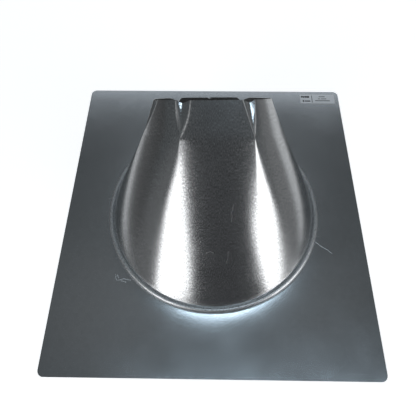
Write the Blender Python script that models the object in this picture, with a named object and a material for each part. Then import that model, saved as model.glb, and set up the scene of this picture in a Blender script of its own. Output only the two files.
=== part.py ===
"""Steep-roof flashing for a round insulated chimney, in galvanised sheet steel.

A flat base plate nails to the roof under the shingles. A leaning cone stands on it, joined by a
rolled lock seam all the way round. Six crimps draw the cone's rim in to the chimney and leave a
ventilation gap between them. The cone is one sheet, lapped and riveted up the back.

+Y is up the slope, +X across it, and +Z stands off the roof. The origin is the middle of the
plate's underside. Run with: blender --background --python part.py
"""

import math

import bmesh
import bpy
from mathutils import Vector

MM = 0.001

# Sheet steel
SHEET = 0.6 * MM
GAP = 0.3 * MM

# Base plate
PLATE_WIDTH = 610 * MM
PLATE_DEPTH = 660 * MM
PLATE_CORNER = 12 * MM

# Rolled lock seam: the cone's roll and the plate's hook share one centre
ROLL_CENTRE_R = 212.2 * MM
ROLL_RADIUS = 4.4 * MM
ROLL_CENTRE_Z = SHEET + GAP + SHEET / 2 + ROLL_RADIUS
ROLL_START = math.radians(165)
ROLL_END = math.radians(-90)
ROLL_STEPS = 9
HOOK_RADIUS = ROLL_RADIUS - SHEET - GAP
HOOK_END = math.radians(-20)
HOOK_STEPS = 8
COLLAR_BEND = 1.2 * MM
COLLAR_BEND_STEPS = 2

# Cone rim: a circle of crimp mouths round the chimney, square to it on a 12 in 12 roof. It
# leans a degree to the left, which also carries it that way.
RIM_TILT = math.radians(46)
RIM_LEAN = math.radians(1)
RIM_CENTRE = (-3.5 * MM, 151.5 * MM, 168 * MM)
RIM_RADIUS = 112 * MM
VALLEY_RADIUS = 102 * MM
RIM_PANEL_TURN = 0.55

# Shoulder: the curve through the six crimp tips
SHOULDER_TILT = math.radians(46)
SHOULDER_CENTRE = (0, 114.5 * MM, 117 * MM)
SHOULDER_RADIUS = 137 * MM
SHOULDER_PANEL_TURN = 0.5

# Crimps, counted from the front. The widest panel, at the back, holds the seam. The whole
# cone sits a few degrees round from square. Some crimps lean to one side towards their tips.
CONE_TURN = math.radians(4)
CRIMP_ANGLES = [math.radians(a) + CONE_TURN for a in (-140, -71, -30, 30, 80, 140)]
TIP_ANGLES = [math.radians(a) + CONE_TURN for a in (-140, -80, -28.5, 26.3, 80, 140)]
CRIMP_HALF_MOUTH = math.radians(7.5)
CRIMP_STEPS = (-1, -0.85, -0.45, -0.12, 0, 0.12, 0.45, 0.85, 1)
SIDE_PANEL_STEPS = 5
REAR_PANEL_STEPS = 8

# Rows of the cone wall, from rim to shoulder and from shoulder to the foot
UPPER_ROWS = (0, 1 / 3, 2 / 3)
LOWER_ROWS = (0, 0.3, 0.6, 0.88, 1)

# Riveted lap seam up the back
LAP_WIDTH = 20 * MM
LAP_JOG = 5 * MM
LAP_OFFSET = (SHEET + GAP) / 2
NOTCH_HALF_WIDTH = 3.5 * MM
NOTCH_SLOPE = 0.86
RIVET_HEIGHTS = (24 * MM, 46 * MM, 68 * MM)
RIVET_SHANK = 1.6 * MM
RIVET_HEAD = 3.3 * MM
RIVET_HEAD_RISE = 1.2 * MM
RIVET_BULB = 2.5 * MM
RIVET_BULB_LENGTH = 2.6 * MM
RIVET_SEGMENTS = 16
DRILL_REACH = 4 * MM

# Label
LABEL_WIDTH = 84 * MM
LABEL_DEPTH = 29 * MM
LABEL_THICKNESS = 0.2 * MM
LABEL_CORNER = 1.5 * MM
LABEL_INSET = 9.5 * MM


def clear_scene():
    for obj in list(bpy.data.objects):
        bpy.data.objects.remove(obj)


def material(name, colour, roughness, metallic):
    made = bpy.data.materials.new(name)
    made.use_nodes = True
    shader = made.node_tree.nodes["Principled BSDF"]
    shader.inputs["Base Color"].default_value = (*colour, 1)
    shader.inputs["Roughness"].default_value = roughness
    shader.inputs["Metallic"].default_value = metallic
    return made


def add_object(name, bm, finish):
    mesh = bpy.data.meshes.new(name)
    bm.to_mesh(mesh)
    bm.free()
    mesh.materials.append(finish)
    obj = bpy.data.objects.new(name, mesh)
    bpy.context.scene.collection.objects.link(obj)
    return obj


def thicken(obj):
    """Gives a middle surface the sheet's thickness."""
    solidify = obj.modifiers.new("sheet thickness", "SOLIDIFY")
    solidify.thickness = SHEET
    solidify.offset = 0
    solidify.use_even_offset = True
    solidify.use_quality_normals = True


def lerp(a, b, t):
    return a + (b - a) * t


# Stations: tilted planes that carry the rim and the shoulder. In a station, x runs across the
# roof, q runs forward and up, and an angle counts from the front, positive towards +X.


class Station:
    def __init__(self, centre, tilt, radius, panel_turn, lean=0.0):
        self.x, self.y, self.z = centre
        self.tilt = tilt
        self.lean = lean
        self.radius = radius
        self.panel_turn = panel_turn

    def world(self, x, q, height=0.0):
        """A point of the plane, raised by height along its normal."""
        along_y = -q * math.cos(self.tilt) + height * math.sin(self.tilt)
        along_z = q * math.sin(self.tilt) + height * math.cos(self.tilt)
        return Vector((self.x + x, self.y + along_y, self.z + along_z + x * math.tan(self.lean)))

    def polar(self, angle, radius=None):
        radius = self.radius if radius is None else radius
        return radius * math.sin(angle), radius * math.cos(angle)

    def panel(self, start, end, share):
        """(x, q, normal angle) on the shallow arc that joins two points of the circle."""
        middle, half = (start + end) / 2, (end - start) / 2
        turn = half * self.panel_turn
        arc_radius = self.radius * math.sin(half) / math.sin(turn)
        centre_distance = self.radius * math.cos(half) - arc_radius * math.cos(turn)
        normal = middle + lerp(-turn, turn, share)
        x = centre_distance * math.sin(middle) + arc_radius * math.sin(normal)
        q = centre_distance * math.cos(middle) + arc_radius * math.cos(normal)
        return x, q, normal


RIM = Station(RIM_CENTRE, RIM_TILT, RIM_RADIUS, RIM_PANEL_TURN, RIM_LEAN)
SHOULDER = Station(SHOULDER_CENTRE, SHOULDER_TILT, SHOULDER_RADIUS, SHOULDER_PANEL_TURN)
FOOT_RADIUS = ROLL_CENTRE_R + ROLL_RADIUS * math.cos(ROLL_START)
FOOT_Z = ROLL_CENTRE_Z + ROLL_RADIUS * math.sin(ROLL_START)


def foot_angle(x, q, normal):
    """The foot circle's angle whose tangent plane also touches the shoulder at (x, q).

    Joining matched points gives a wall that unrolls flat, as bent sheet does. The two tangent
    lines meet where the shoulder's plane cuts the foot's plane.
    """
    rise = SHOULDER.z - FOOT_Z
    meet_q = rise / math.sin(SHOULDER.tilt)
    meet_y = SHOULDER.y + rise / math.tan(SHOULDER.tilt)
    sine, cosine = math.sin(normal), math.cos(normal)
    across = x * sine + (q + meet_q) * cosine
    along = meet_y * sine
    return math.atan2(along, across) + math.asin(FOOT_RADIUS * sine / math.hypot(across, along))


def ring_point(angle, radius, z):
    return Vector((radius * math.sin(angle), -radius * math.cos(angle), z))


def outward(angle, up):
    """The wall's outward normal on a line that runs along up from the foot circle at angle."""
    across = Vector((math.cos(angle), math.sin(angle), 0))
    return across.cross(up).normalized()


def valley_point(angle, tip):
    """The crimp's valley at the rim: as long as the crimp's ridges, so leaning in lowers it."""
    x, q = RIM.polar(angle, VALLEY_RADIUS)
    ridge = RIM.world(*RIM.polar(angle + CRIMP_HALF_MOUTH)) - tip
    base = RIM.world(x, q) - tip
    normal = Vector((0, math.sin(RIM.tilt), math.cos(RIM.tilt)))
    across = base - normal * base.dot(normal)
    height = math.sqrt(ridge.length_squared - across.length_squared)
    return tip + across + normal * height


class Column:
    """One line of the wall from rim to foot, with what the lap does to it."""

    def __init__(self, rim, shoulder, angle, lap_side=0, lapped=False):
        self.rim = rim
        self.shoulder = shoulder
        self.angle = angle
        self.lap_side = lap_side
        self.lapped = lapped


def crimp_columns(tips, angle):
    """The crimp's folds all pass through its tip, then fan out to the foot.

    tips are the angles of its own tip and of the tips on either side of it.
    """
    before = SHOULDER.panel(tips[0], tips[1], 1)[2]
    after = SHOULDER.panel(tips[1], tips[2], 0)[2]
    x, q = SHOULDER.polar(tips[1])
    tip = SHOULDER.world(x, q)
    valley = valley_point(angle, tip)
    columns = []
    for share in CRIMP_STEPS:
        side = math.copysign(1, share)
        ridge = RIM.world(*RIM.polar(angle + side * CRIMP_HALF_MOUTH))
        normal = lerp(before, after, (share + 1) / 2)
        columns.append(Column(valley.lerp(ridge, abs(share)), tip, foot_angle(x, q, normal)))
    return columns


def panel_column(tips, mouths, share, lap_side=0, lapped=False):
    x, q, normal = SHOULDER.panel(*tips, share)
    rim_x, rim_q, _ = RIM.panel(mouths[0] + CRIMP_HALF_MOUTH, mouths[1] - CRIMP_HALF_MOUTH, share)
    return Column(
        RIM.world(rim_x, rim_q),
        SHOULDER.world(x, q),
        foot_angle(x, q, normal),
        lap_side,
        lapped,
    )


def rear_columns(side):
    """Half of the rear panel, from its crimp to the free edge of the lap.

    side is 1 for the half at +X, whose lap lies outside, and -1 for the other.
    """
    start, end = CRIMP_ANGLES[-1], CRIMP_ANGLES[0] + 2 * math.pi
    if side < 0:
        start, end = CRIMP_ANGLES[-1] - 2 * math.pi, CRIMP_ANGLES[0]
    ends = (start, end)
    width = 2 * RIM.radius * math.sin((end - start) / 2 - CRIMP_HALF_MOUTH)
    half_lap = LAP_WIDTH / 2 / width
    jog = LAP_JOG / width
    slit = GAP / 2 / width
    plain = [i / REAR_PANEL_STEPS for i in range(1, REAR_PANEL_STEPS)]
    shares = [s for s in plain if s < 0.5 - half_lap - jog - 0.5 / REAR_PANEL_STEPS]
    shares += [0.5 - half_lap - jog]
    columns = [(s, 0, False) for s in shares]
    columns += [(0.5 - half_lap, side, False), (0.5 - slit, side, False)]
    columns += [(0.5 + half_lap / 2, side, True), (0.5 + half_lap, side, True)]
    made = []
    for share, lap_side, lapped in columns:
        column = panel_column(ends, ends, share if side > 0 else 1 - share, lap_side, lapped)
        if lap_side:
            past_notch = (share - 0.5) * width + NOTCH_HALF_WIDTH
            down = (column.shoulder - column.rim).normalized()
            column.rim = column.rim + down * max(0, past_notch) * NOTCH_SLOPE
        made.append(column)
    return made if side > 0 else made[::-1]


def all_columns():
    """Every column of the cone's sheet, from the inner lap's edge round to the outer lap's."""
    columns = rear_columns(-1)
    tips = [TIP_ANGLES[-1] - 2 * math.pi] + TIP_ANGLES + [TIP_ANGLES[0] + 2 * math.pi]
    for k, angle in enumerate(CRIMP_ANGLES):
        columns += crimp_columns(tips[k : k + 3], angle)
        if k < len(CRIMP_ANGLES) - 1:
            for i in range(1, SIDE_PANEL_STEPS):
                ends = TIP_ANGLES[k : k + 2], CRIMP_ANGLES[k : k + 2]
                columns.append(panel_column(*ends, i / SIDE_PANEL_STEPS))
    return columns + rear_columns(1)


def seam_arc(radius, start, end, steps):
    """(radius from the cone's axis, z) along an arc about the lock seam's centre."""
    angles = [lerp(start, end, i / steps) for i in range(steps + 1)]
    return [(ROLL_CENTRE_R + radius * math.cos(a), ROLL_CENTRE_Z + radius * math.sin(a)) for a in angles]


def column_points(column):
    """The column's points from the rim to the end of the roll, as far as its sheet goes."""
    foot = ring_point(column.angle, FOOT_RADIUS, FOOT_Z)
    points = [column.rim.lerp(column.shoulder, t) for t in UPPER_ROWS]
    points += [column.shoulder.lerp(foot, t) for t in LOWER_ROWS]
    if column.lap_side:
        out = outward(column.angle, column.rim - foot)
        for i in range(len(points) - 1):
            points[i] = points[i] + out * LAP_OFFSET * column.lap_side
    if column.lapped:
        return points[:-1]
    roll = seam_arc(ROLL_RADIUS, ROLL_START, ROLL_END, ROLL_STEPS)
    return points + [ring_point(column.angle, r, z) for r, z in roll[1:]]


def sheet_mesh(lines):
    """Faces between neighbouring lines of points. A shorter line ends its faces early."""
    bm = bmesh.new()
    grid = [[bm.verts.new(p) for p in line] for line in lines]
    for left, right in zip(grid, grid[1:]):
        for row in range(min(len(left), len(right)) - 1):
            bm.faces.new((left[row], left[row + 1], right[row + 1], right[row]))
    bmesh.ops.remove_doubles(bm, verts=bm.verts, dist=0.00001)
    bmesh.ops.recalc_face_normals(bm, faces=bm.faces)
    return bm


def seam_line():
    """The column up the middle of the rear panel."""
    ends = (CRIMP_ANGLES[-1], CRIMP_ANGLES[0] + 2 * math.pi)
    return panel_column(ends, ends, 0.5)


def seam_point(z):
    """The seam's point at height z, and the outward normal there."""
    seam = seam_line()
    foot = ring_point(seam.angle, FOOT_RADIUS, FOOT_Z)
    top, bottom = (seam.rim, seam.shoulder) if z > seam.shoulder.z else (seam.shoulder, foot)
    point = bottom.lerp(top, (z - bottom.z) / (top.z - bottom.z))
    return point, outward(seam.angle, top - bottom)


def revolve(profile, segments):
    """A closed turned solid from (radius, z) points that start and end on the axis."""
    bm = bmesh.new()
    verts = [bm.verts.new((r, 0, z)) for r, z in profile]
    edges = [bm.edges.new(pair) for pair in zip(verts, verts[1:])]
    bmesh.ops.spin(
        bm, geom=edges, cent=(0, 0, 0), axis=(0, 0, 1), angle=2 * math.pi, steps=segments, use_merge=True
    )
    bmesh.ops.remove_doubles(bm, verts=bm.verts, dist=0.000001)
    bmesh.ops.recalc_face_normals(bm, faces=bm.faces)
    return bm


def place_on_rear(obj, z):
    point, normal = seam_point(z)
    obj.location = point
    obj.rotation_mode = "QUATERNION"
    obj.rotation_quaternion = normal.to_track_quat("Z", "Y")


def build_rivets(steel):
    seat = LAP_OFFSET + SHEET / 2 + GAP
    profile = [
        (0, seat + RIVET_HEAD_RISE),
        (RIVET_HEAD * 0.5, seat + RIVET_HEAD_RISE * 0.85),
        (RIVET_HEAD * 0.87, seat + RIVET_HEAD_RISE * 0.45),
        (RIVET_HEAD, seat),
        (RIVET_SHANK, seat),
        (RIVET_SHANK, -seat),
        (RIVET_BULB, -seat),
        (RIVET_BULB, -seat - RIVET_BULB_LENGTH * 0.6),
        (RIVET_BULB * 0.6, -seat - RIVET_BULB_LENGTH),
        (0, -seat - RIVET_BULB_LENGTH),
    ]
    for number, z in enumerate(RIVET_HEIGHTS, 1):
        rivet = add_object(f"seam_rivet_{number}", revolve(profile, RIVET_SEGMENTS), steel)
        place_on_rear(rivet, z)


def drill_rivet_holes(cone, steel):
    radius = RIVET_SHANK + GAP
    profile = [(0, DRILL_REACH), (radius, DRILL_REACH), (radius, -DRILL_REACH), (0, -DRILL_REACH)]
    for number, z in enumerate(RIVET_HEIGHTS, 1):
        drill = add_object(f"drill_{number}", revolve(profile, RIVET_SEGMENTS), steel)
        drill.hide_render = True
        drill.display_type = "WIRE"
        place_on_rear(drill, z)
        cut = cone.modifiers.new(f"rivet hole {number}", "BOOLEAN")
        cut.operation = "DIFFERENCE"
        cut.object = drill


def build_cone(columns, steel):
    cone = add_object("flashing_cone", sheet_mesh([column_points(c) for c in columns]), steel)
    thicken(cone)
    drill_rivet_holes(cone, steel)


def rounded_rectangle(width, depth, corner, steps):
    """Points round a rectangle with round corners, about the origin."""
    points = []
    for quarter, (sx, sy) in enumerate(((1, 1), (-1, 1), (-1, -1), (1, -1))):
        for i in range(steps + 1):
            a = (quarter + i / steps) * math.pi / 2
            x = sx * (width / 2 - corner) + corner * math.cos(a)
            y = sy * (depth / 2 - corner) + corner * math.sin(a)
            points.append((x, y))
    return points


def collar_profile():
    """(radius, z) from the plate's flat round the bend, up the collar and over its hook."""
    bend_r = ROLL_CENTRE_R - HOOK_RADIUS + COLLAR_BEND
    bend_z = SHEET / 2 + COLLAR_BEND
    turns = [math.pi / 2 * i / COLLAR_BEND_STEPS for i in range(COLLAR_BEND_STEPS + 1)]
    bend = [(bend_r - COLLAR_BEND * math.sin(a), bend_z - COLLAR_BEND * math.cos(a)) for a in turns]
    return bend + seam_arc(HOOK_RADIUS, math.pi, HOOK_END, HOOK_STEPS)


def build_plate(columns, steel):
    """The plate shares the cone's angles, so that the two facet alike in the lock seam."""
    plain = [column.angle for column in columns if not column.lap_side]
    angles = sorted({round(angle, 7) for angle in plain + [seam_line().angle]})
    profile = collar_profile()
    bm = bmesh.new()
    outline = [
        bm.verts.new((x, y, SHEET / 2))
        for x, y in rounded_rectangle(PLATE_WIDTH, PLATE_DEPTH, PLATE_CORNER, 6)
    ]
    rings = [[bm.verts.new(ring_point(a, r, z)) for a in angles] for r, z in profile]
    edges = [bm.edges.new((a, b)) for a, b in zip(outline, outline[1:] + outline[:1])]
    edges += [bm.edges.new((a, b)) for a, b in zip(rings[0], rings[0][1:] + rings[0][:1])]
    bmesh.ops.triangle_fill(bm, edges=edges, use_beauty=True)
    for lower, upper in zip(rings, rings[1:]):
        for i in range(len(angles)):
            j = (i + 1) % len(angles)
            bm.faces.new((lower[i], lower[j], upper[j], upper[i]))
    bmesh.ops.recalc_face_normals(bm, faces=bm.faces)
    thicken(add_object("base_plate", bm, steel))


def build_label(paper):
    bm = bmesh.new()
    bottom = SHEET + GAP
    outline = rounded_rectangle(LABEL_WIDTH, LABEL_DEPTH, LABEL_CORNER, 3)
    face = bm.faces.new([bm.verts.new((x, y, bottom)) for x, y in outline])
    made = bmesh.ops.extrude_face_region(bm, geom=[face])["geom"]
    raised = [v for v in made if isinstance(v, bmesh.types.BMVert)]
    bmesh.ops.translate(bm, verts=raised, vec=(0, 0, LABEL_THICKNESS))
    bmesh.ops.recalc_face_normals(bm, faces=bm.faces)
    label = add_object("label", bm, paper)
    label.location.x = PLATE_WIDTH / 2 - LABEL_INSET - LABEL_WIDTH / 2
    label.location.y = PLATE_DEPTH / 2 - LABEL_INSET - LABEL_DEPTH / 2


def main():
    clear_scene()
    galvanised = material("galvanised sheet", (0.42, 0.45, 0.47), 0.32, 1)
    rivet_steel = material("zinc rivet", (0.55, 0.56, 0.58), 0.4, 1)
    paper = material("label stock", (0.72, 0.73, 0.74), 0.5, 0)
    columns = all_columns()
    build_cone(columns, galvanised)
    build_plate(columns, galvanised)
    build_rivets(rivet_steel)
    build_label(paper)


main()
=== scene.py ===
"""Looks for the steep-roof chimney flashing: fine sheet-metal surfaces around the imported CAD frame.

The cone, plate, rivets and label are made again here as smooth sheet, on the same design as the
CAD solids that they replace: the same stations, lock seam and crimps, with rounded folds.
+X is across the roof, +Y up its slope and +Z off it. Lengths are in metres.
"""

import math

import bmesh
import bpy
from mathutils import Matrix, Vector


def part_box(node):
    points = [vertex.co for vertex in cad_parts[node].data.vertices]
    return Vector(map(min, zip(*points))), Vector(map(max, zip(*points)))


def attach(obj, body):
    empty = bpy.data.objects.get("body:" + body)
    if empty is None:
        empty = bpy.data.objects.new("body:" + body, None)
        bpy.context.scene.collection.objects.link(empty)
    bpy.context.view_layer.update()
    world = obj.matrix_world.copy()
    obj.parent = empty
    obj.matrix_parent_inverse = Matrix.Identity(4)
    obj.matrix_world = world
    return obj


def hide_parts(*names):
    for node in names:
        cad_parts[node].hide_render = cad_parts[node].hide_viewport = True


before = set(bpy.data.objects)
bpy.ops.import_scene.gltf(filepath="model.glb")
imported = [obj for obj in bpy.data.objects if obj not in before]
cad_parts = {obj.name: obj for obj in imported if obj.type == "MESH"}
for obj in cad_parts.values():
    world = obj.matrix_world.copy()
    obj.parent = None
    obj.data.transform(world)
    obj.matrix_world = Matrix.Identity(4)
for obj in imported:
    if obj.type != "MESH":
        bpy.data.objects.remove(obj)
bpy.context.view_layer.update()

MM = 0.001

# The sheet and its lock seam, from the frame
_, PLATE_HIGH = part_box("base_plate")
_, CONE_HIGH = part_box("flashing_cone")
LABEL_LOW, LABEL_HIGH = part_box("label")
SHEET = 0.6 * MM
GAP = 0.3 * MM
ROLL_RADIUS = 4.4 * MM
ROLL_CENTRE_R = CONE_HIGH.x - ROLL_RADIUS - SHEET / 2
ROLL_CENTRE_Z = SHEET + GAP + SHEET / 2 + ROLL_RADIUS
ROLL_START = math.radians(165)
ROLL_END = math.radians(-90)
HOOK_RADIUS = ROLL_RADIUS - SHEET - GAP
HOOK_END = math.radians(-20)
COLLAR_BEND = 1.2 * MM
PLATE_CORNER = 12 * MM
ROUND_STEPS = 28

# Rim and shoulder stations
RIM_TILT = math.radians(46)
RIM_LEAN = math.radians(1)
RIM_CENTRE = (-3.5 * MM, 151.5 * MM, 168 * MM)
RIM_RADIUS = 112 * MM
RIM_PANEL_TURN = 0.55
SHOULDER_TILT = math.radians(46)
SHOULDER_CENTRE = (0, 114.5 * MM, 117 * MM)
SHOULDER_RADIUS = 137 * MM
SHOULDER_PANEL_TURN = 0.5

# Crimps
CONE_TURN = math.radians(4)
CRIMP_ANGLES = [math.radians(a) + CONE_TURN for a in (-140, -71, -30, 30, 80, 140)]
TIP_ANGLES = [math.radians(a) + CONE_TURN for a in (-140, -80, -28.5, 26.3, 80, 140)]
CRIMP_HALF_MOUTH = math.radians(7.5)
CRIMP_DROP = 4 * MM
CRIMP_SKEW = 0.45
CRIMP_SINK = 1.1
CRIMP_OVERRUN = 1.1
CRIMP_LEAST_HALF = 0.1 * MM
CRIMP_VALLEY_SOFTNESS = 0.003
CRIMP_RIDGE_SOFTNESS = 0.01
# how far out a crimp is felt, in half widths, and where along it the rim starts to drop
PRESS_SIDE = 2
DROP_SIDE = 1.5
DROP_START = 0.8
# half width before and after the valley, depth, and how soon each side opens out
CRIMP_SHAPES = (
    (14 * MM, 14 * MM, 10 * MM, 1.5, 1.5),
    (13 * MM, 12 * MM, 9 * MM, 1.5, 1.5),
    (15 * MM, 13.5 * MM, 8.5 * MM, 2.4, 2.6),
    (13 * MM, 11 * MM, 8.5 * MM, 0.9, 2.4),
    (15 * MM, 14 * MM, 10 * MM, 1.5, 1.5),
    (14 * MM, 15 * MM, 10 * MM, 1.5, 1.5),
)
CRIMP_REACH = 30 * MM
CRIMP_STEPS = 28
PANEL_STEPS = 44
REAR_STEPS = 26
UPPER_ROWS = 40
LOWER_ROWS = 36
SHOULDER_BLEND = 14 * MM
SHOULDER_BLEND_SPREAD = 0.3
GRAIN_RADIUS = 160 * MM
ROLL_WEAR = 1.5

# Lap seam
LAP_WIDTH = 20 * MM
LAP_JOG = 5 * MM
LAP_OFFSET = (SHEET + GAP) / 2
NOTCH_HALF_WIDTH = 3.5 * MM
NOTCH_SLOPE = 0.86
LAP_STEPS = 6
LAP_FADE = 6 * MM
LAP_SHORT_ROWS = 4

# Mesh details: row spacing, the fold limit on a short wall, the weld and the crisp edges
LOWER_ROW_SPACING = 1.35
FOLD_LIMIT = 0.45
WELD = 0.01 * MM
CRISP_ANGLE = math.radians(50)

# Plate, and how far the seam has pulled it up
PLATE_STEPS = 288
PLATE_RINGS = 60
PLATE_RING_SPACING = 2.4
PLATE_CORNER_STEPS = 8
PLATE_CORNER_SPREAD = math.radians(2.6)
BEND_STEPS = 6
SWELL_START = ROLL_CENTRE_R + 1.6 * MM
SWELL_PEAK = ROLL_CENTRE_R + ROLL_RADIUS + 1.9 * MM
SWELL_RISE = 4.2 * MM
SWELL_LENGTH = 23 * MM
SWELL_TURN = math.radians(14)
SWELL_OFFSET = 0.45
SWELL_SPAN = 1.1
WORKED_LENGTH = 40 * MM

# Rivets
RIVET_HEIGHTS = (24 * MM, 46 * MM, 68 * MM)
RIVET_SHANK = 1.6 * MM
RIVET_HEAD = 3.3 * MM
RIVET_HEAD_RISE = 1.2 * MM
RIVET_EYE = 0.85 * MM
RIVET_BULB = 2.5 * MM
RIVET_BULB_LENGTH = 2.6 * MM
RIVET_SEGMENTS = 48
RIVET_SEAT_GAP = 0.02 * MM
RIVET_BULB_SIDE = 0.8
RIVET_TAIL = 0.7
RIVET_GRAIN_STEP = 10 * MM
# the eye of the dome, from its middle: share of the eye's radius and depth below the crown
RIVET_EYE_PROFILE = ((0, 0.55 * MM), (0.7, 0.5 * MM), (0.8, 0.12 * MM))
RIVET_DOME_STEPS = 12
RIVET_BULB_STEPS = 8

# Label: left, bottom, width and height of each print block, in mm on the label
LABEL_CORNER = 1.5 * MM
LABEL_CORNER_STEPS = 8
INK_CORNER = 0.5 * MM
INK_CORNER_STEPS = 3
INK_RISE = 0.02 * MM
DARK_INK = (
    (3, 19, 4, 5.5),
    (7.6, 18.4, 3, 5),
    (11.2, 19, 6, 5),
    (17.6, 18.6, 5, 5.6),
    (6, 5, 3, 6.5),
)
GREY_INK = (
    (10.4, 6, 14, 4),
    (28, 3, 1.5, 23),
    (46, 21, 15, 2.2),
    (44, 14.4, 5, 2),
    (51, 14.4, 13, 2),
    (36, 8, 36, 2.6),
)

# Scratches: lines on each flat sheet, in mm on the sheet itself
SCRATCH_WIDTH = 0.9 * MM
SCRATCH_ROUGHNESS = 0.6
# painted glint: how much a scratch lifts the zinc's colour
SCRATCH_GLINT_LIFT = 0.6
SCRATCH_WOBBLE = (3 * MM, 3 * MM, 0)
SCRATCH_WOBBLE_SCALE = 90.0
HAIRLINE_TURN = (0, 0, math.radians(17))
HAIRLINE_STRETCH = (9, 700, 0)
HAIRLINE_RANGE = (0.66, 0.8)
HAIRLINE_DEPTH = 0.07
PLATE_SCRATCHES = (
    ((-188, -145), (-188, -151), (-184, -156), (-171, -154), (-158, -157)),
    ((-184, -146), (-182, -152)),
    ((-176, -158), (-166, -160)),
    ((206, -74), (238, -96)),
)
CONE_SCRATCHES = (
    ((30, 207), (31, 190), (34, 176)),
    ((-8, 264), (-2, 261), (3, 264)),
    ((22, 285), (25, 262)),
)

# Zinc: what all the sheets share
NOISE_RANGE = (0.3, 0.7)
GRAIN_STRETCH = (850, 260, 0)
BROAD_SCALE = 14.0
SPANGLE_SCALE = 130.0
ROUGHNESS_SWING = 0.02
WORKED_LIFT = 0.2
RELIEF_DEPTH = 0.1 * MM
ZINC_RELIEF = 0.4
# grain, spangle, colour, roughness, roughness added where worked, scratches and their depth
CONE_ZINC = (0.45, 0.05, (0.6, 0.61, 0.62), 0.2, 0.13, CONE_SCRATCHES, 0.25)
PLATE_ZINC = (0.05, 0.03, (0.56, 0.58, 0.6), 0.2, 0.05, PLATE_SCRATCHES, 1.0)
RIVET_ZINC = (0.08, 0.03, (0.62, 0.63, 0.64), 0.25, 0.0, (), 1.0)

# Label finishes: colour, roughness, metallic, speckle and the speckle's scale
PLAIN_ROUGHNESS_SWING = 0.05
PLAIN_RELIEF = 0.1
LABEL_STOCK = ((0.85, 0.86, 0.88), 0.3, 0.6, 0.06, 900)
DARK_PRINT = ((0.03, 0.03, 0.035), 0.5, 0.0, 0.3, 2500)
GREY_PRINT = ((0.2, 0.2, 0.21), 0.5, 0.0, 0.3, 2500)

# Camera: sensor and lens in mm, place in metres, angles in degrees
SENSOR_WIDTH = 36
LENS = 33.75
CAMERA_PLACE = (-0.001, -0.3717, 0.7357)
CAMERA_TURN = 1.51
CAMERA_DOWN = 63.0
CAMERA_ROLL = -0.77

# Floor: a mat (left, right, front, back) whose right edge slants, seen only in reflections
FLOOR_SIZE = 6
FLOOR_ROUGHNESS = 0.9
FLOOR_SEEN = (0.86, 0.86, 0.86)
FLOOR_GLOW_SEEN = (1, 1, 1)
FLOOR_GLOW = 0.72
FLOOR_DROP = 0.5 * MM
MAT = (-0.39, 0.41, -0.9, 0.8)
MAT_SLANT = 0.55
MAT_SOFTNESS = 0.04
# brightness from left to right, and how far each side of the middle it changes
MAT_LEVELS = (0.65, 0.56)
MAT_REACH = 0.35
FAR_FLOOR = (0.08, 0.19)
FAR_REACH = 1
# painted shade: under the cone, the floor's colour and glow in reflections drop to this share
UNDER_CONE_SHADE = 0.12

# World, from the camera's side to the back
WORLD_SEEN = (0.9, 0.9, 0.9)
WORLD_RANGE = (-0.9, 0.1)
WORLD_FRONT = (0.056, 0.058, 0.061)
WORLD_BACK = (0.092, 0.1, 0.104)
# angle round from the front, elevation, angular radius of its core and of its edge, radiance
GLOWS = (
    (-72, 4, 4, 24, 0.07),
    (-65, 43, 5, 15, 0.4),
    (80, 2, 4, 24, 0.05),
    (86, 30, 6, 18, 0.4),
    (-132, 71, 2, 13, 0.06),
    (134, 71, 2, 11, 0.05),
)
# name, angle round from the front, elevation, roll, angular width and height, distance, radiance,
# colour
SOFTBOXES = (
    ("left box", -36.9, 21, -42, 29, 28, 2.2, 2.4, (1, 1, 1)),
    ("right box", 57.3, 17, -16, 31, 27, 2.2, 2.4, (1, 1, 1)),
    ("rear wall", 179, 26.5, 0, 56, 27, 2.4, 0.95, (0.86, 0.93, 1)),
    ("overhead strip", 45, 77.5, 0, 39, 5, 6.0, 5.3, (0.7, 0.87, 1)),
)
AIM = Vector((0, 0, 0.05))
OVERHEAD = 60


def lerp(a, b, t):
    return a + (b - a) * t


def smooth(t):
    t = min(max(t, 0.0), 1.0)
    return t * t * (3 - 2 * t)


# ---------------------------------------------------------------- the cone's design


class Station:
    """A tilted plane: x across the roof, q forward and up, angles from the front towards +X."""

    def __init__(self, centre, tilt, radius, panel_turn, lean=0.0):
        self.x, self.y, self.z = centre
        self.tilt = tilt
        self.lean = lean
        self.radius = radius
        self.panel_turn = panel_turn

    def world(self, x, q):
        along_z = q * math.sin(self.tilt) + x * math.tan(self.lean)
        return Vector((self.x + x, self.y - q * math.cos(self.tilt), self.z + along_z))

    def polar(self, angle):
        return self.radius * math.sin(angle), self.radius * math.cos(angle)

    def panel(self, start, end, share):
        """(x, q, normal angle) on the shallow arc that joins two points of the circle."""
        middle, half = (start + end) / 2, (end - start) / 2
        turn = half * self.panel_turn
        arc_radius = self.radius * math.sin(half) / math.sin(turn)
        centre_distance = self.radius * math.cos(half) - arc_radius * math.cos(turn)
        normal = middle + lerp(-turn, turn, share)
        x = centre_distance * math.sin(middle) + arc_radius * math.sin(normal)
        q = centre_distance * math.cos(middle) + arc_radius * math.cos(normal)
        return x, q, normal


RIM = Station(RIM_CENTRE, RIM_TILT, RIM_RADIUS, RIM_PANEL_TURN, RIM_LEAN)
SHOULDER = Station(SHOULDER_CENTRE, SHOULDER_TILT, SHOULDER_RADIUS, SHOULDER_PANEL_TURN)
FOOT_RADIUS = ROLL_CENTRE_R + ROLL_RADIUS * math.cos(ROLL_START)
FOOT_Z = ROLL_CENTRE_Z + ROLL_RADIUS * math.sin(ROLL_START)


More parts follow.
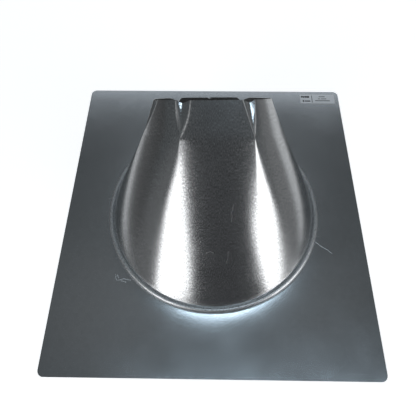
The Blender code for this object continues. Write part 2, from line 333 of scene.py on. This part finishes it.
def foot_angle(x, q, normal):
    """The foot circle's angle whose tangent plane also touches the shoulder at (x, q)."""
    rise = SHOULDER.z - FOOT_Z
    meet_q = rise / math.sin(SHOULDER.tilt)
    meet_y = SHOULDER.y + rise / math.tan(SHOULDER.tilt)
    sine, cosine = math.sin(normal), math.cos(normal)
    across = x * sine + (q + meet_q) * cosine
    along = meet_y * sine
    return math.atan2(along, across) + math.asin(FOOT_RADIUS * sine / math.hypot(across, along))


def ring_point(angle, radius, z):
    return Vector((radius * math.sin(angle), -radius * math.cos(angle), z))


def outward(angle, up):
    across = Vector((math.cos(angle), math.sin(angle), 0))
    return across.cross(up).normalized()


class Column:
    """One line of the wall: its rim, shoulder and foot points, and what the lap does to it."""

    def __init__(self, rim, shoulder, angle, blend, lap_side=0, lapped=False, cut=0.0):
        self.rim = rim
        self.shoulder = shoulder
        self.angle = angle
        self.blend = blend
        self.lap_side = lap_side
        self.lapped = lapped
        self.cut = cut


def neighbours(angles, k):
    """The angles of crimp k and of the crimps before and after it."""
    before = angles[k - 1] - (2 * math.pi if k == 0 else 0)
    last = k == len(angles) - 1
    after = angles[0] + 2 * math.pi if last else angles[k + 1]
    return before, angles[k], after


def mouth_curve(before, angle, after, share):
    """The rim across a mouth as if it weren't crimped: a bend between the two panels' ends."""
    half = CRIMP_HALF_MOUTH
    left_x, left_q, left_normal = RIM.panel(before + half, angle - half, 1)
    right_x, right_q, right_normal = RIM.panel(angle + half, after - half, 0)
    left, right = Vector((left_x, left_q)), Vector((right_x, right_q))
    run = (right - left).length / 2 / math.cos((right_normal - left_normal) / 2)
    corner_left = left + Vector((math.cos(left_normal), -math.sin(left_normal))) * run
    corner_right = right - Vector((math.cos(right_normal), -math.sin(right_normal))) * run
    corner = (corner_left + corner_right) / 2
    point = left.lerp(corner, share).lerp(corner.lerp(right, share), share)
    return RIM.world(point.x, point.y)


def crimp_columns(k):
    before, angle, after = neighbours(TIP_ANGLES, k)
    first = SHOULDER.panel(before, angle, 1)[2]
    last = SHOULDER.panel(angle, after, 0)[2]
    x, q = SHOULDER.polar(angle)
    tip = SHOULDER.world(x, q)
    before, angle, after = neighbours(CRIMP_ANGLES, k)
    columns = []
    for i in range(CRIMP_STEPS + 1):
        share = i / CRIMP_STEPS
        rim = mouth_curve(before, angle, after, share)
        columns.append(Column(rim, tip, foot_angle(x, q, lerp(first, last, share)), 0.0))
    return columns


def panel_column(tips, mouths, share, **lap):
    x, q, normal = SHOULDER.panel(*tips, share)
    start, end = mouths
    rim_x, rim_q, _ = RIM.panel(start + CRIMP_HALF_MOUTH, end - CRIMP_HALF_MOUTH, share)
    blend = SHOULDER_BLEND * smooth(min(share, 1 - share) / SHOULDER_BLEND_SPREAD)
    rim, shoulder = RIM.world(rim_x, rim_q), SHOULDER.world(x, q)
    return Column(rim, shoulder, foot_angle(x, q, normal), blend, **lap)


def panel_columns(k):
    """Columns across the panel after crimp k, closer together near its crimps."""
    shares = [0.5 - 0.5 * math.cos(math.pi * i / PANEL_STEPS) for i in range(1, PANEL_STEPS)]
    return [panel_column(TIP_ANGLES[k : k + 2], CRIMP_ANGLES[k : k + 2], share) for share in shares]


def rear_columns(side):
    """Half of the rear panel, from its crimp to the free edge of the lap."""
    start, end = CRIMP_ANGLES[-1], CRIMP_ANGLES[0] + 2 * math.pi
    if side < 0:
        start, end = CRIMP_ANGLES[-1] - 2 * math.pi, CRIMP_ANGLES[0]
    ends = (start, end)
    width = 2 * RIM.radius * math.sin((end - start) / 2 - CRIMP_HALF_MOUTH)
    half_lap = LAP_WIDTH / 2 / width
    jog = LAP_JOG / width
    plain_end = 0.5 - half_lap - jog
    turns = [math.pi / 2 * i / REAR_STEPS for i in range(1, REAR_STEPS)]
    columns = [(plain_end * (1 - math.cos(turn)), 0, False) for turn in turns]
    columns.append((plain_end, 0, False))
    for i in range(LAP_STEPS + 1):
        columns.append((lerp(0.5 - half_lap, 0.5 - GAP / 2 / width, i / LAP_STEPS), side, False))
    for i in range(1, LAP_STEPS + 1):
        columns.append((lerp(0.5, 0.5 + half_lap, i / LAP_STEPS), side, True))
    made = []
    for share, lap_side, lapped in columns:
        past_notch = (share - 0.5) * width + NOTCH_HALF_WIDTH
        cut = max(0.0, past_notch) * NOTCH_SLOPE if lap_side else 0.0
        real = share if side > 0 else 1 - share
        made.append(panel_column(ends, ends, real, lap_side=lap_side, lapped=lapped, cut=cut))
    return made if side > 0 else made[::-1]


def all_columns():
    columns = rear_columns(-1)
    for k in range(len(CRIMP_ANGLES)):
        columns += crimp_columns(k)
        if k < len(CRIMP_ANGLES) - 1:
            columns += panel_columns(k)
    return columns + rear_columns(1)


# ---------------------------------------------------------------- crimps as pressed dents


class Crimp:
    """A V pressed into the wall between its tip and the rim."""

    def __init__(self, k):
        before, angle, after = neighbours(CRIMP_ANGLES, k)
        half_before, half_after, self.depth, power_before, power_after = CRIMP_SHAPES[k]
        self.before = (half_before, power_before)
        self.after = (half_after, power_after)
        self.tip = SHOULDER.world(*SHOULDER.polar(TIP_ANGLES[k]))
        left = mouth_curve(before, angle, after, 0)
        right = mouth_curve(before, angle, after, 1)
        mouth = mouth_curve(before, angle, after, 0.5)
        self.length = (mouth - self.tip).length
        self.along = (mouth - self.tip).normalized()
        across = right - left
        self.across = (across - self.along * across.dot(self.along)).normalized()
        self.inward = self.along.cross(self.across).normalized()
        if self.inward.dot(RIM.world(0, 0) - mouth) < 0:
            self.inward = -self.inward
        away = math.copysign(1, math.sin(angle))
        self.push = (self.inward + self.across * away * CRIMP_SKEW).normalized() * self.depth

    def place(self, point):
        """(share of the way from tip to rim, share of the crimp's half width at that point)."""
        offset = point - self.tip
        share = offset.dot(self.along) / self.length
        if share <= 0 or abs(offset.dot(self.inward)) > CRIMP_REACH:
            return 0.0, math.inf
        share = min(share, CRIMP_OVERRUN)
        side = offset.dot(self.across)
        half, power = self.before if side < 0 else self.after
        opening = 1 - (1 - min(share, 1.0)) ** power
        return share, side / max(half * opening, CRIMP_LEAST_HALF)

    def profile(self, side):
        """A V with a soft fold at its bottom and at both ridges: 1 in the valley, 0 outside."""
        rise = 1 - math.sqrt(side * side + CRIMP_VALLEY_SOFTNESS)
        return 0.5 * (rise + math.sqrt(rise * rise + CRIMP_RIDGE_SOFTNESS))


CRIMPS = [Crimp(k) for k in range(len(CRIMP_ANGLES))]


def press(point):
    """The point moved inwards by the crimps."""
    for crimp in CRIMPS:
        share, side = crimp.place(point)
        if share > 0 and abs(side) < PRESS_SIDE:
            point = point + crimp.push * share**CRIMP_SINK * crimp.profile(side)
    return point


def rim_drop(point):
    """How far the rim's edge is drawn down by a crimp at this point."""
    for crimp in CRIMPS:
        share, side = crimp.place(point)
        if share > DROP_START and abs(side) < DROP_SIDE:
            return CRIMP_DROP * crimp.profile(side)
    return 0.0


def seam_arc(radius, start, end, steps):
    """(radius from the cone's axis, z) along an arc about the lock seam's centre."""
    angles = [lerp(start, end, i / steps) for i in range(steps + 1)]
    return [
        (ROLL_CENTRE_R + radius * math.cos(a), ROLL_CENTRE_Z + radius * math.sin(a))
        for a in angles
    ]


def wall_rows(column):
    """Points down the wall from the rim to the foot, rounded where they pass the shoulder."""
    foot = ring_point(column.angle, FOOT_RADIUS, FOOT_Z)
    upper = column.shoulder - column.rim
    start = (column.cut + rim_drop(column.rim)) / upper.length
    points = []
    for i in range(UPPER_ROWS):
        points.append(column.rim.lerp(column.shoulder, lerp(start, 1.0, i / UPPER_ROWS)))
    for i in range(LOWER_ROWS + 1):
        points.append(column.shoulder.lerp(foot, (i / LOWER_ROWS) ** LOWER_ROW_SPACING))
    lower = foot - column.shoulder
    reach = min(column.blend, FOLD_LIMIT * upper.length, FOLD_LIMIT * lower.length)
    if reach > 0:
        points = [soften(p, column, foot, reach) for p in points]
    points = [press(p) for p in points]
    if column.lap_side:
        out = outward(column.angle, column.rim - foot) * LAP_OFFSET * column.lap_side
        fade = [1.0 if column.lapped else smooth((p.z - foot.z) / LAP_FADE) for p in points]
        points = [p + out * f for p, f in zip(points, fade)]
    return points


def soften(point, column, foot, reach):
    """Moves a point near the shoulder's fold onto a parabola that spans the fold."""
    up = (column.rim - column.shoulder).normalized()
    down = (foot - column.shoulder).normalized()
    offset = point - column.shoulder
    above = offset.dot(up) > offset.dot(down)
    distance = offset.length * (-1 if above else 1)
    if abs(distance) >= reach:
        return point
    t = (distance / reach + 1) / 2
    start, end = column.shoulder + up * reach, column.shoulder + down * reach
    return start.lerp(column.shoulder, t).lerp(column.shoulder.lerp(end, t), t)


def column_points(column):
    points = wall_rows(column)
    if column.lapped:
        return points[:-LAP_SHORT_ROWS]
    roll = seam_arc(ROLL_RADIUS, ROLL_START, ROLL_END, ROUND_STEPS)
    return points + [ring_point(column.angle, r, z) for r, z in roll[1:]]


# ---------------------------------------------------------------- meshes


def add_piece(name, bm, finish, node):
    """Makes the piece that stands for a CAD node."""
    mesh = bpy.data.meshes.new(name)
    bm.to_mesh(mesh)
    bm.free()
    mesh.materials.append(finish)
    mesh.shade_smooth()
    piece = bpy.data.objects.new(name, mesh)
    bpy.context.scene.collection.objects.link(piece)
    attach(piece, "root")
    if node:
        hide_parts(node)
    return piece


def thicken(piece):
    """Gives a middle surface the sheet's thickness, with crisp cut edges."""
    solidify = piece.modifiers.new("sheet thickness", "SOLIDIFY")
    solidify.thickness = SHEET
    solidify.offset = 0
    solidify.use_quality_normals = True
    split = crisp(piece)
    split.use_edge_sharp = False


def crisp(piece):
    edges = piece.modifiers.new("crisp edges", "EDGE_SPLIT")
    edges.split_angle = CRISP_ANGLE
    return edges


def sheet_line(bm, points, across):
    """Vertices down a line, with their place on the flat sheet and a mark where it was rolled."""
    layer = bm.verts.layers.float_vector.get("sheet")
    verts, along = [], 0.0
    for i, point in enumerate(points):
        along += (point - points[i - 1]).length if i else 0.0
        vert = bm.verts.new(point)
        worked = smooth((i - UPPER_ROWS - LOWER_ROWS + 1) / 2)
        vert[layer] = Vector((across, along, worked * ROLL_WEAR))
        verts.append(vert)
    return verts


def new_sheet():
    bm = bmesh.new()
    bm.verts.layers.float_vector.new("sheet")
    return bm


def build_cone(steel):
    bm = new_sheet()
    grid, turned = [], -math.pi
    for column in all_columns():
        turned += math.remainder(column.angle - turned, 2 * math.pi)
        grid.append(sheet_line(bm, column_points(column), turned * GRAIN_RADIUS))
    for left, right in zip(grid, grid[1:]):
        for row in range(min(len(left), len(right)) - 1):
            bm.faces.new((left[row], left[row + 1], right[row + 1], right[row]))
    bmesh.ops.remove_doubles(bm, verts=bm.verts, dist=WELD)
    bmesh.ops.recalc_face_normals(bm, faces=bm.faces)
    thicken(add_piece("cone_sheet", bm, steel, "flashing_cone"))


def swell(angle, radius):
    """How far the seam has pulled the plate up: most at the front, where the cone leans away."""
    share = smooth((math.cos(angle - SWELL_TURN) + SWELL_OFFSET) / SWELL_SPAN)
    if radius < SWELL_PEAK:
        return share * smooth((radius - SWELL_START) / (SWELL_PEAK - SWELL_START))
    return share * math.exp(-(radius - SWELL_PEAK) / SWELL_LENGTH)


def plate_edge(angle):
    """Where a ray from the origin meets the plate's rounded outline."""
    width, depth = PLATE_HIGH.x, PLATE_HIGH.y
    direction = Vector((math.sin(angle), -math.cos(angle)))
    reach = min(width / max(abs(direction.x), 1e-9), depth / max(abs(direction.y), 1e-9))
    corner_x = math.copysign(width - PLATE_CORNER, direction.x)
    corner_y = math.copysign(depth - PLATE_CORNER, direction.y)
    corner = Vector((corner_x, corner_y))
    hit = direction * reach
    if abs(hit.x) > abs(corner.x) and abs(hit.y) > abs(corner.y):
        along = corner.dot(direction)
        reach = along + math.sqrt(PLATE_CORNER**2 - (corner.length_squared - along * along))
    return reach


def plate_angles():
    """Even angles round the plate, with extra ones through its round corners."""
    angles = [2 * math.pi * i / PLATE_STEPS for i in range(PLATE_STEPS)]
    corner = math.atan2(PLATE_HIGH.x, PLATE_HIGH.y)
    steps = PLATE_CORNER_STEPS
    for middle in (corner, math.pi - corner, math.pi + corner, 2 * math.pi - corner):
        angles += [middle + PLATE_CORNER_SPREAD * (i / steps - 1) for i in range(2 * steps + 1)]
    return sorted(set(round(a, 6) for a in angles))


def build_plate(steel):
    bm = new_sheet()
    bend_r = ROLL_CENTRE_R - HOOK_RADIUS + COLLAR_BEND
    bend_z = SHEET / 2 + COLLAR_BEND
    turns = [math.pi / 2 * i / BEND_STEPS for i in range(BEND_STEPS + 1)]
    profile = [
        (bend_r - COLLAR_BEND * math.sin(a), bend_z - COLLAR_BEND * math.cos(a)) for a in turns
    ]
    profile += seam_arc(HOOK_RADIUS, math.pi, HOOK_END, ROUND_STEPS)
    layer = bm.verts.layers.float_vector["sheet"]
    lines = []
    for angle in plate_angles():
        edge = plate_edge(angle)
        shares = [(1 - i / PLATE_RINGS) ** PLATE_RING_SPACING for i in range(PLATE_RINGS)]
        radii = [lerp(bend_r, edge, share) for share in shares]
        flat = [ring_point(angle, r, SHEET / 2 + SWELL_RISE * swell(angle, r)) for r in radii]
        collar = [ring_point(angle, r, z) for r, z in profile]
        verts = [bm.verts.new(point) for point in flat + collar]
        for vert in verts:
            worked = math.exp(-(vert.co.xy.length - SWELL_PEAK) / WORKED_LENGTH)
            vert[layer] = Vector((vert.co.x, vert.co.y, min(worked, 1.0)))
        lines.append(verts)
    for left, right in zip(lines, lines[1:] + lines[:1]):
        for row in range(len(left) - 1):
            bm.faces.new((left[row], left[row + 1], right[row + 1], right[row]))
    bmesh.ops.recalc_face_normals(bm, faces=bm.faces)
    thicken(add_piece("plate_sheet", bm, steel, "base_plate"))


# ---------------------------------------------------------------- materials


def feed(tree, socket, value):
    """Links a socket to another node's output, or sets it to a constant."""
    if isinstance(value, bpy.types.NodeSocket):
        tree.links.new(value, socket)
    else:
        socket.default_value = value


def node(tree, kind, operation=None, **inputs):
    made = tree.nodes.new(kind)
    if operation:
        made.operation = operation
    for key, value in inputs.items():
        feed(tree, made.inputs[key.replace("_", " ")], value)
    return made


def math_node(tree, operation, *values):
    made = node(tree, "ShaderNodeMath", operation)
    for socket, value in zip(made.inputs, values):
        feed(tree, socket, value)
    return made.outputs[0]


def vector_node(tree, operation, *values):
    made = node(tree, "ShaderNodeVectorMath", operation)
    for socket, value in zip(made.inputs, values):
        feed(tree, socket, value)
    return made.outputs["Value" if operation in ("DOT_PRODUCT", "LENGTH") else "Vector"]


def scaled(tree, vector, factor):
    made = node(tree, "ShaderNodeVectorMath", "SCALE", Vector=vector, Scale=factor)
    return made.outputs["Vector"]


def map_range(tree, value, start, end, low=0.0, high=1.0):
    """Maps start..end to low..high, clamped."""
    ends = {"From_Min": start, "From_Max": end, "To_Min": low, "To_Max": high}
    return node(tree, "ShaderNodeMapRange", Value=value, **ends).outputs[0]


def mapping(tree, place, scale, rotation=(0, 0, 0)):
    made = node(tree, "ShaderNodeMapping", Vector=place, Scale=scale, Rotation=rotation)
    return made.outputs[0]


def mix(tree, kind, factor, first, second):
    """Mixes floats or colours. Socket names repeat on a Mix node, so identifiers are used."""
    made = tree.nodes.new("ShaderNodeMix")
    made.data_type = kind
    suffix = {"FLOAT": "Float", "RGBA": "Color"}[kind]
    sockets = {socket.identifier: socket for socket in made.inputs}
    for name, value in (("Factor_Float", factor), (f"A_{suffix}", first), (f"B_{suffix}", second)):
        feed(tree, sockets[name], value)
    return next(s for s in made.outputs if s.identifier == f"Result_{suffix}")


def new_material(name):
    made = bpy.data.materials.new(name)
    made.use_nodes = True
    return made, made.node_tree, made.node_tree.nodes["Principled BSDF"]


def add_relief(tree, shader, height, strength):
    bump = node(tree, "ShaderNodeBump", Height=height, Strength=strength, Distance=RELIEF_DEPTH)
    feed(tree, shader.inputs["Normal"], bump.outputs[0])


def line_mask(tree, place, start, end):
    """1 on the line from start to end on the sheet, fading to 0 at the scratch's width."""
    start, end = Vector((*start, 0)) * MM, Vector((*end, 0)) * MM
    run = end - start
    offset = vector_node(tree, "SUBTRACT", place, start)
    dot = vector_node(tree, "DOT_PRODUCT", offset, run)
    share = node(tree, "ShaderNodeClamp", Value=math_node(tree, "DIVIDE", dot, run.length_squared))
    away = vector_node(tree, "SUBTRACT", offset, scaled(tree, run, share.outputs[0]))
    return map_range(tree, vector_node(tree, "LENGTH", away), SCRATCH_WIDTH, 0)


def scratch_mask(tree, place, lines, depth):
    """Long fine hairlines all over, and the few deeper scratches given; the mask also lifts colour as
    a painted glint.
    """
    flat = vector_node(tree, "MULTIPLY", place, (1, 1, 0))
    turned = mapping(tree, flat, HAIRLINE_STRETCH, HAIRLINE_TURN)
    hair = node(tree, "ShaderNodeTexNoise", Vector=turned, Scale=1.0, Detail=1.0)
    mask = map_range(tree, hair.outputs["Fac"], *HAIRLINE_RANGE, 0, HAIRLINE_DEPTH)
    wobble = node(
        tree, "ShaderNodeTexNoise", Vector=flat, Scale=SCRATCH_WOBBLE_SCALE, Detail=1.0
    )
    centred = vector_node(tree, "SUBTRACT", wobble.outputs["Color"], (0.5, 0.5, 0.5))
    nudge = vector_node(tree, "MULTIPLY", centred, SCRATCH_WOBBLE)
    bent = vector_node(tree, "ADD", flat, nudge)
    for line in lines:
        for start, end in zip(line, line[1:]):
            scratch = math_node(tree, "MULTIPLY", line_mask(tree, bent, start, end), depth)
            mask = math_node(tree, "MAXIMUM", mask, scratch)
    return mask


def galvanised(name, grain, spangle, colour, roughness, worked_roughness, scratches, depth):
    """Bright zinc: rolling grain along the sheet's own v, soft spangle and fine scratches with a
    painted glint.
    """
    made, tree, shader = new_material(name)
    attribute = tree.nodes.new("ShaderNodeAttribute")
    attribute.attribute_name = "sheet"
    place = attribute.outputs["Vector"]
    stretched = mapping(tree, place, GRAIN_STRETCH)
    streaks = node(
        tree, "ShaderNodeTexNoise", Vector=stretched, Scale=1.0, Detail=3.0, Roughness=0.6
    ).outputs["Fac"]
    flat = mapping(tree, place, (1, 1, 0))
    broad = node(
        tree, "ShaderNodeTexNoise", Vector=flat, Scale=BROAD_SCALE, Detail=2.0, Roughness=0.5
    )
    crystals = node(tree, "ShaderNodeTexVoronoi", Vector=flat, Scale=SPANGLE_SCALE)

    tone = map_range(tree, streaks, *NOISE_RANGE, 1 - grain, 1 + grain)
    facet = map_range(tree, crystals.outputs["Color"], 0, 1, 1 - spangle, 1 + spangle)
    scratch_and_glint = scratch_mask(tree, place, scratches, depth)
    worked = node(tree, "ShaderNodeSeparateXYZ", Vector=place).outputs["Z"]
    worn = math_node(tree, "MULTIPLY_ADD", worked, WORKED_LIFT, 1.0)
    # painted glint: scratches lift the colour, on top of the lift where the zinc was worked
    worked_and_glint_lift = math_node(tree, "MULTIPLY_ADD", scratch_and_glint, SCRATCH_GLINT_LIFT, worn)
    pattern = math_node(tree, "MULTIPLY", tone, facet)
    brightness = math_node(tree, "MULTIPLY", pattern, worked_and_glint_lift)
    feed(tree, shader.inputs["Base Color"], scaled(tree, colour, brightness))

    swing = (roughness - ROUGHNESS_SWING, roughness + ROUGHNESS_SWING)
    rough = map_range(tree, broad.outputs["Fac"], *NOISE_RANGE, *swing)
    rough = math_node(tree, "MULTIPLY_ADD", worked, worked_roughness, rough)
    rough = math_node(tree, "MULTIPLY_ADD", scratch_and_glint, SCRATCH_ROUGHNESS, rough)
    feed(tree, shader.inputs["Roughness"], rough)
    add_relief(tree, shader, streaks, ZINC_RELIEF)
    shader.inputs["Metallic"].default_value = 1.0
    return made


def plain_finish(name, colour, roughness, metallic, speckle, scale):
    """A coat with a faint speckle."""
    made, tree, shader = new_material(name)
    place = tree.nodes.new("ShaderNodeTexCoord").outputs["Object"]
    grain = node(tree, "ShaderNodeTexNoise", Vector=place, Scale=scale, Detail=3.0).outputs["Fac"]
    tone = math_node(tree, "MULTIPLY_ADD", grain, speckle, 1 - speckle / 2)
    feed(tree, shader.inputs["Base Color"], scaled(tree, colour, tone))
    swing = PLAIN_ROUGHNESS_SWING
    rough = math_node(tree, "MULTIPLY_ADD", grain, 2 * swing, roughness - swing)
    feed(tree, shader.inputs["Roughness"], rough)
    shader.inputs["Metallic"].default_value = metallic
    add_relief(tree, shader, grain, PLAIN_RELIEF)
    return made


# ---------------------------------------------------------------- rivets and label

def seam_point(z):
    """The seam's point at height z, and the outward normal there."""
    ends = (CRIMP_ANGLES[-1], CRIMP_ANGLES[0] + 2 * math.pi)
    seam = panel_column(ends, ends, 0.5)
    foot = ring_point(seam.angle, FOOT_RADIUS, FOOT_Z)
    top, bottom = (seam.rim, seam.shoulder) if z > seam.shoulder.z else (seam.shoulder, foot)
    point = bottom.lerp(top, (z - bottom.z) / (top.z - bottom.z))
    return point, outward(seam.angle, top - bottom)


def rivet_profile():
    """(radius, z) of a set blind rivet, from the eye of its dome round to its bulb."""
    seat = LAP_OFFSET + SHEET / 2 + RIVET_SEAT_GAP
    crown = seat + RIVET_HEAD_RISE
    points = [(RIVET_EYE * share, crown - depth) for share, depth in RIVET_EYE_PROFILE]
    for i in range(RIVET_DOME_STEPS + 1):
        turn = math.pi / 2 * i / RIVET_DOME_STEPS
        radius = lerp(RIVET_EYE, RIVET_HEAD, math.sin(turn))
        points.append((radius, seat + RIVET_HEAD_RISE * math.cos(turn)))
    points += [(RIVET_SHANK, seat), (RIVET_SHANK, -seat)]
    for i in range(RIVET_BULB_STEPS + 1):
        share = i / RIVET_BULB_STEPS
        radius = RIVET_SHANK + (RIVET_BULB - RIVET_SHANK) * math.sin(math.pi * share)
        points.append((radius, -seat - RIVET_BULB_LENGTH * RIVET_BULB_SIDE * share))
    end = -seat - RIVET_BULB_LENGTH
    return points + [(RIVET_SHANK * RIVET_TAIL, end), (0, end)]


def build_rivet(number, z, steel):
    bm = new_sheet()
    layer = bm.verts.layers.float_vector["sheet"]
    point, normal = seam_point(z)
    turn = normal.to_track_quat("Z", "Y")
    rings = []
    for r, height in rivet_profile():
        ring = []
        for i in range(RIVET_SEGMENTS if r else 1):
            a = 2 * math.pi * i / RIVET_SEGMENTS
            local = Vector((r * math.cos(a), r * math.sin(a), height))
            vert = bm.verts.new(point + turn @ local)
            vert[layer] = Vector((local.x, local.y + RIVET_GRAIN_STEP * number, 0))
            ring.append(vert)
        rings.append(ring)
    for lower, upper in zip(rings, rings[1:]):
        for i in range(RIVET_SEGMENTS):
            corners = [lower[i % len(lower)], lower[(i + 1) % len(lower)]]
            corners += [upper[(i + 1) % len(upper)], upper[i % len(upper)]]
            bm.faces.new(list(dict.fromkeys(corners)))
    bmesh.ops.recalc_face_normals(bm, faces=bm.faces)
    crisp(add_piece(f"rivet_{number}", bm, steel, f"seam_rivet_{number}"))


def rounded_rectangle(low, high, corner, steps):
    points = []
    centre = (low + high) / 2
    half = (high - low) / 2
    for quarter, (sx, sy) in enumerate(((1, 1), (-1, 1), (-1, -1), (1, -1))):
        for i in range(steps + 1):
            a = (quarter + i / steps) * math.pi / 2
            x = sx * (half.x - corner) + corner * math.cos(a)
            y = sy * (half.y - corner) + corner * math.sin(a)
            points.append((centre.x + x, centre.y + y))
    return points


def add_slab(bm, outline, bottom, top):
    """A closed slab between two heights."""
    lower = [bm.verts.new((x, y, bottom)) for x, y in outline]
    upper = [bm.verts.new((x, y, top)) for x, y in outline]
    bm.faces.new(lower[::-1])
    bm.faces.new(upper)
    for i in range(len(outline)):
        j = (i + 1) % len(outline)
        bm.faces.new((lower[i], lower[j], upper[j], upper[i]))


def build_label(paper, dark, grey):
    bm = bmesh.new()
    low, high = Vector(LABEL_LOW), Vector(LABEL_HIGH)
    outline = rounded_rectangle(low.xy, high.xy, LABEL_CORNER, LABEL_CORNER_STEPS)
    add_slab(bm, outline, low.z, high.z - INK_RISE)
    label = add_piece("label_stock", bm, paper, "label")
    label.data.shade_flat()
    prints = (("label_dark_print", dark, DARK_INK), ("label_grey_print", grey, GREY_INK))
    for name, ink, blocks in prints:
        bm = bmesh.new()
        for x, y, width, height in blocks:
            corner = low.xy + Vector((x, y)) * MM
            far = corner + Vector((width, height)) * MM
            outline = rounded_rectangle(corner, far, INK_CORNER, INK_CORNER_STEPS)
            add_slab(bm, outline, high.z - INK_RISE, high.z)
        add_piece(name, bm, ink, None).data.shade_flat()


# ---------------------------------------------------------------- studio


def add_camera():
    camera = bpy.data.cameras.new("camera")
    camera.sensor_width = SENSOR_WIDTH
    camera.lens = LENS
    obj = bpy.data.objects.new("camera", camera)
    bpy.context.scene.collection.objects.link(obj)
    turn = Matrix.Rotation(math.radians(CAMERA_TURN), 4, "Z")
    tilt = Matrix.Rotation(math.radians(90 - CAMERA_DOWN), 4, "X")
    roll = Matrix.Rotation(math.radians(CAMERA_ROLL), 4, "Z")
    obj.matrix_world = Matrix.Translation(CAMERA_PLACE) @ turn @ tilt @ roll
    bpy.context.scene.camera = obj


def seen_by_camera(tree, seen, reflected):
    """A colour that the camera sees directly, and another for light and reflections."""
    ray = tree.nodes.new("ShaderNodeLightPath")
    return mix(tree, "RGBA", ray.outputs["Is Camera Ray"], reflected, (*seen, 1))


def mat_mask(tree, x, y):
    """1 on the mat and 0 off it, with soft edges."""
    slanted = math_node(tree, "MULTIPLY_ADD", y, -MAT_SLANT, x)
    left, right, front, back = MAT
    mask = 1.0
    for across, edge, sign in ((x, left, 1), (slanted, right, -1), (y, front, 1), (y, back, -1)):
        soft = sign * MAT_SOFTNESS
        inside = map_range(tree, across, edge - soft, edge + soft)
        mask = math_node(tree, "MULTIPLY", mask, inside)
    return mask


def add_floor():
    """A pale floor that glows. In reflections: a pale mat on a darker floor, with painted shade under
    the cone.
    """
    bm = bmesh.new()
    bmesh.ops.create_grid(bm, x_segments=1, y_segments=1, size=FLOOR_SIZE)
    mesh = bpy.data.meshes.new("floor")
    bm.to_mesh(mesh)
    bm.free()
    floor = bpy.data.objects.new("floor", mesh)
    bpy.context.scene.collection.objects.link(floor)
    made, tree, shader = new_material("floor")
    place = tree.nodes.new("ShaderNodeTexCoord").outputs["Object"]
    axes = node(tree, "ShaderNodeSeparateXYZ", Vector=place)
    x, y = axes.outputs[0], axes.outputs[1]
    radius = vector_node(tree, "LENGTH", place)
    outside = math_node(tree, "GREATER_THAN", radius, ROLL_CENTRE_R)
    far = map_range(tree, x, -FAR_REACH, FAR_REACH, *FAR_FLOOR)
    near = map_range(tree, x, -MAT_REACH, MAT_REACH, *MAT_LEVELS)
    level = mix(tree, "FLOAT", mat_mask(tree, x, y), far, near)
    # painted shade: the floor's reflected colour and glow are dimmed under the cone
    shaded = math_node(tree, "MAXIMUM", outside, UNDER_CONE_SHADE)
    grey = math_node(tree, "MULTIPLY", level, shaded)
    pale = node(tree, "ShaderNodeCombineColor", Red=grey, Green=grey, Blue=grey).outputs[0]
    feed(tree, shader.inputs["Base Color"], seen_by_camera(tree, FLOOR_SEEN, pale))
    feed(tree, shader.inputs["Emission Color"], seen_by_camera(tree, FLOOR_GLOW_SEEN, pale))
    shader.inputs["Roughness"].default_value = FLOOR_ROUGHNESS
    shader.inputs["Specular IOR Level"].default_value = 0.0
    shader.inputs["Emission Strength"].default_value = FLOOR_GLOW
    mesh.materials.append(made)
    floor.location.z = -FLOOR_DROP


def direction(around, elevation):
    a, e = math.radians(around), math.radians(elevation)
    return Vector((math.sin(a) * math.cos(e), -math.cos(a) * math.cos(e), math.sin(e)))


def add_softbox(name, around, elevation, roll, width, height, distance, radiance, colour):
    light = bpy.data.lights.new(name, "AREA")
    light.shape = "RECTANGLE"
    light.size = 2 * distance * math.tan(math.radians(width / 2))
    light.size_y = 2 * distance * math.tan(math.radians(height / 2))
    light.energy = radiance * math.pi * light.size * light.size_y
    light.color = colour
    obj = bpy.data.objects.new(name, light)
    bpy.context.scene.collection.objects.link(obj)
    towards = direction(around, elevation)
    side = Vector((1, 0, 0))
    if elevation < OVERHEAD:
        side = Vector((0, 0, 1)).cross(towards).normalized()
    up = towards.cross(side).normalized()
    side = up.cross(towards)
    facing = Matrix((side, up, towards)).transposed().to_4x4()
    rolled = facing @ Matrix.Rotation(math.radians(-roll), 4, "Z")
    obj.matrix_world = Matrix.Translation(AIM + towards * distance) @ rolled


def add_world():
    """A dim studio with soft glows in reflections, and a pale backdrop for the camera."""
    world = bpy.data.worlds.new("studio")
    bpy.context.scene.world = world
    world.use_nodes = True
    tree = world.node_tree
    place = tree.nodes.new("ShaderNodeTexCoord").outputs["Generated"]
    axes = node(tree, "ShaderNodeSeparateXYZ", Vector=place)
    ramp = map_range(tree, axes.outputs["Y"], *WORLD_RANGE)
    shade = mix(tree, "RGBA", ramp, (*WORLD_FRONT, 1), (*WORLD_BACK, 1))
    level = 0.0
    for around, elevation, core, edge, radiance in GLOWS:
        near = vector_node(tree, "DOT_PRODUCT", place, direction(around, elevation))
        edge_cosine, core_cosine = math.cos(math.radians(edge)), math.cos(math.radians(core))
        glow = map_range(tree, near, edge_cosine, core_cosine, 0, radiance)
        glow.node.interpolation_type = "SMOOTHSTEP"
        level = math_node(tree, "ADD", level, glow)
    lit = vector_node(tree, "ADD", shade, level)
    background = tree.nodes["Background"]
    feed(tree, background.inputs["Color"], seen_by_camera(tree, WORLD_SEEN, lit))


def main():
    cone_steel = galvanised("cone zinc", *CONE_ZINC)
    plate_steel = galvanised("plate zinc", *PLATE_ZINC)
    rivet_steel = galvanised("rivet zinc", *RIVET_ZINC)
    paper = plain_finish("label stock", *LABEL_STOCK)
    dark = plain_finish("dark print", *DARK_PRINT)
    grey = plain_finish("grey print", *GREY_PRINT)
    build_cone(cone_steel)
    build_plate(plate_steel)
    for number, z in enumerate(RIVET_HEIGHTS, 1):
        build_rivet(number, z, rivet_steel)
    build_label(paper, dark, grey)
    add_camera()
    add_floor()
    add_world()
    for box in SOFTBOXES:
        add_softbox(*box)
    bpy.context.scene.view_settings.view_transform = "Standard"


main()
